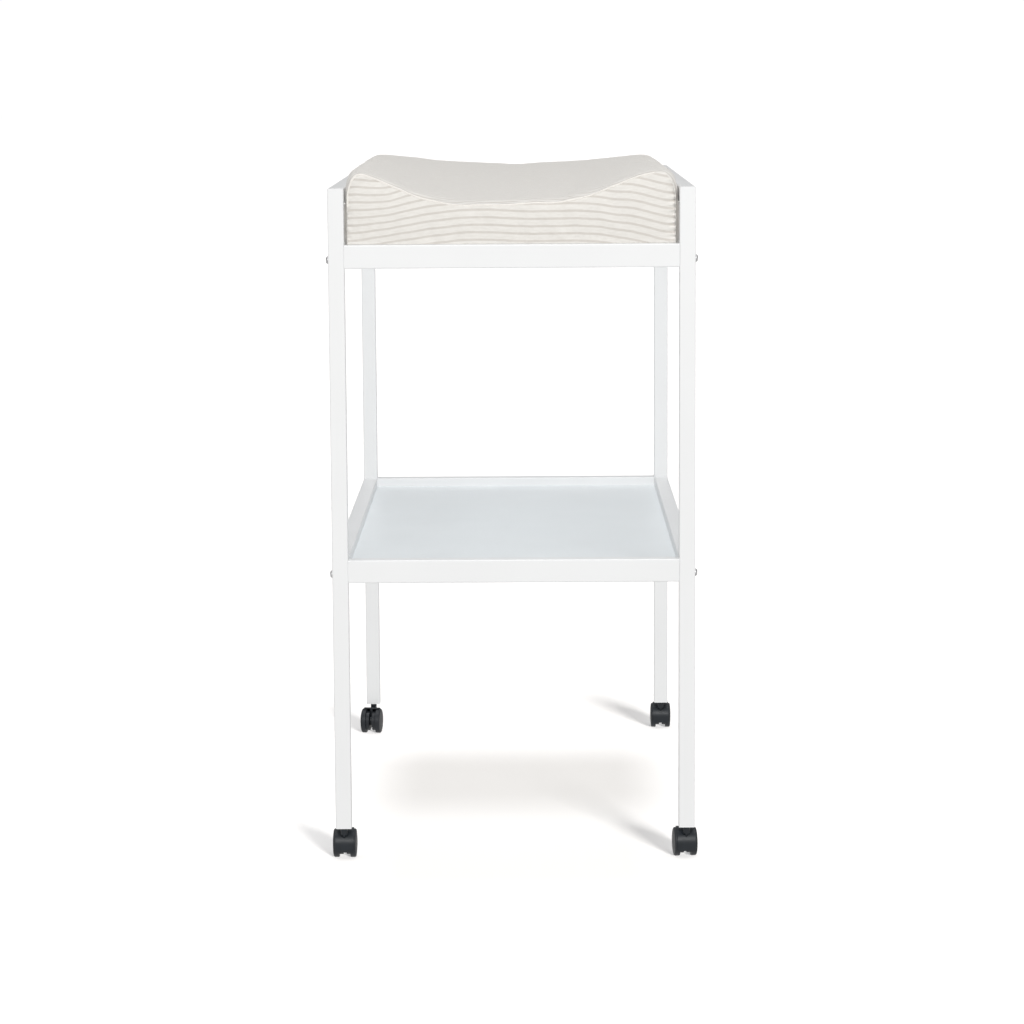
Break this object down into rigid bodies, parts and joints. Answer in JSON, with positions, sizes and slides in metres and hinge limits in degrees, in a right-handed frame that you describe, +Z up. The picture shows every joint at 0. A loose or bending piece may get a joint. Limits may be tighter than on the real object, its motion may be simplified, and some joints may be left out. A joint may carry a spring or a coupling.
{
  "type": "changing table",
  "caption": "Steel-framed changing table on swivel castors, with side guard rails, tray shelves and a contoured changing pad in a striped fitted cover.",
  "frame": {"origin": "on the floor, at the middle of the footprint's bounding box with the castors as pictured", "axes": "+X to the right across the narrow width, +Y along the length towards the rear end, +Z up"},
  "size_m": [0.516, 0.9272, 0.9578],
  "materials": {
    "powder_coated_tube": "satin",
    "tray_sheet": "satin",
    "bolt_steel": "satin",
    "plated_steel": "satin",
    "socket_nylon": "matte",
    "castor_nylon": "gloss",
    "wheel_nylon": "satin",
    "foam": "matte",
    "striped_cover": "matte",
    "elastic": "matte"
  },
  "bodies": {
    "frame": {"leg_front_left": "powder_coated_tube", "leg_front_right": "powder_coated_tube", "leg_rear_left": "powder_coated_tube", "leg_rear_right": "powder_coated_tube", "guard_rail_left": "powder_coated_tube", "guard_rail_right": "powder_coated_tube", "upper_side_rail_left": "powder_coated_tube", "upper_side_rail_right": "powder_coated_tube", "lower_side_rail_left": "powder_coated_tube", "lower_side_rail_right": "powder_coated_tube", "upper_front_rail": "powder_coated_tube", "upper_rear_rail": "powder_coated_tube", "lower_front_rail": "powder_coated_tube", "lower_rear_rail": "powder_coated_tube", "upper_tray_floor": "tray_sheet", "lower_tray_floor": "tray_sheet", "upper_bolts": "bolt_steel", "lower_bolts": "bolt_steel", "upper_nut_plugs": "plated_steel", "lower_nut_plugs": "plated_steel", "socket_front_left": "socket_nylon", "socket_front_right": "socket_nylon", "socket_rear_left": "socket_nylon", "socket_rear_right": "socket_nylon", "stem_front_left": "plated_steel", "stem_front_right": "plated_steel", "stem_rear_left": "plated_steel", "stem_rear_right": "plated_steel", "grip_rings": "plated_steel"},
    "castor_front_left": {"housing_front_left": "castor_nylon", "axle_front_left": "plated_steel"},
    "front_left_wheel_a": {"wheel_front_left_a": "wheel_nylon"},
    "front_left_wheel_b": {"wheel_front_left_b": "wheel_nylon"},
    "castor_front_right": {"housing_front_right": "castor_nylon", "axle_front_right": "plated_steel"},
    "front_right_wheel_a": {"wheel_front_right_a": "wheel_nylon"},
    "front_right_wheel_b": {"wheel_front_right_b": "wheel_nylon"},
    "castor_rear_left": {"housing_rear_left": "castor_nylon", "axle_rear_left": "plated_steel"},
    "rear_left_wheel_a": {"wheel_rear_left_a": "wheel_nylon"},
    "rear_left_wheel_b": {"wheel_rear_left_b": "wheel_nylon"},
    "castor_rear_right": {"housing_rear_right": "castor_nylon", "axle_rear_right": "plated_steel"},
    "rear_right_wheel_a": {"wheel_rear_right_a": "wheel_nylon"},
    "rear_right_wheel_b": {"wheel_rear_right_b": "wheel_nylon"},
    "pad": {"pad_foam": "foam", "pad_cover": "striped_cover", "cover_elastic": "elastic"}
  },
  "joints": [
    {"name": "swivel_front_left", "type": "hinge", "parent": "frame", "child": "castor_front_left", "pos_m": [-0.239, -0.4534, 0.0385], "axis": [0, 0, 1], "continuous": true},
    {"name": "spin_front_left_a", "type": "hinge", "parent": "castor_front_left", "child": "front_left_wheel_a", "pos_m": [-0.23869, -0.4354, 0.02], "axis": [0.9998, -0.0175, 0], "continuous": true},
    {"name": "spin_front_left_b", "type": "hinge", "parent": "castor_front_left", "child": "front_left_wheel_b", "pos_m": [-0.23869, -0.4354, 0.02], "axis": [0.9998, -0.0175, 0], "continuous": true},
    {"name": "swivel_front_right", "type": "hinge", "parent": "frame", "child": "castor_front_right", "pos_m": [0.239, -0.4534, 0.0385], "axis": [0, 0, 1], "continuous": true},
    {"name": "spin_front_right_a", "type": "hinge", "parent": "castor_front_right", "child": "front_right_wheel_a", "pos_m": [0.23743, -0.43547, 0.02], "axis": [0.9962, 0.0872, 0], "continuous": true},
    {"name": "spin_front_right_b", "type": "hinge", "parent": "castor_front_right", "child": "front_right_wheel_b", "pos_m": [0.23743, -0.43547, 0.02], "axis": [0.9962, 0.0872, 0], "continuous": true},
    {"name": "swivel_rear_left", "type": "hinge", "parent": "frame", "child": "castor_rear_left", "pos_m": [-0.239, 0.4246, 0.0385], "axis": [0, 0, 1], "continuous": true},
    {"name": "spin_rear_left_a", "type": "hinge", "parent": "castor_rear_left", "child": "rear_left_wheel_a", "pos_m": [-0.2415, 0.40677, 0.02], "axis": [-0.9903, 0.1392, 0], "continuous": true},
    {"name": "spin_rear_left_b", "type": "hinge", "parent": "castor_rear_left", "child": "rear_left_wheel_b", "pos_m": [-0.2415, 0.40677, 0.02], "axis": [-0.9903, 0.1392, 0], "continuous": true},
    {"name": "swivel_rear_right", "type": "hinge", "parent": "frame", "child": "castor_rear_right", "pos_m": [0.239, 0.4246, 0.0385], "axis": [0, 0, 1], "continuous": true},
    {"name": "spin_rear_right_a", "type": "hinge", "parent": "castor_rear_right", "child": "rear_right_wheel_a", "pos_m": [0.23931, 0.4426, 0.02], "axis": [0.9998, -0.0175, 0], "continuous": true},
    {"name": "spin_rear_right_b", "type": "hinge", "parent": "castor_rear_right", "child": "rear_right_wheel_b", "pos_m": [0.23931, 0.4426, 0.02], "axis": [0.9998, -0.0175, 0], "continuous": true},
    {"name": "pad_lift", "type": "slide", "parent": "frame", "child": "pad", "axis": [0, 0, 1], "range_m": [0, 0.15]}
  ]
}
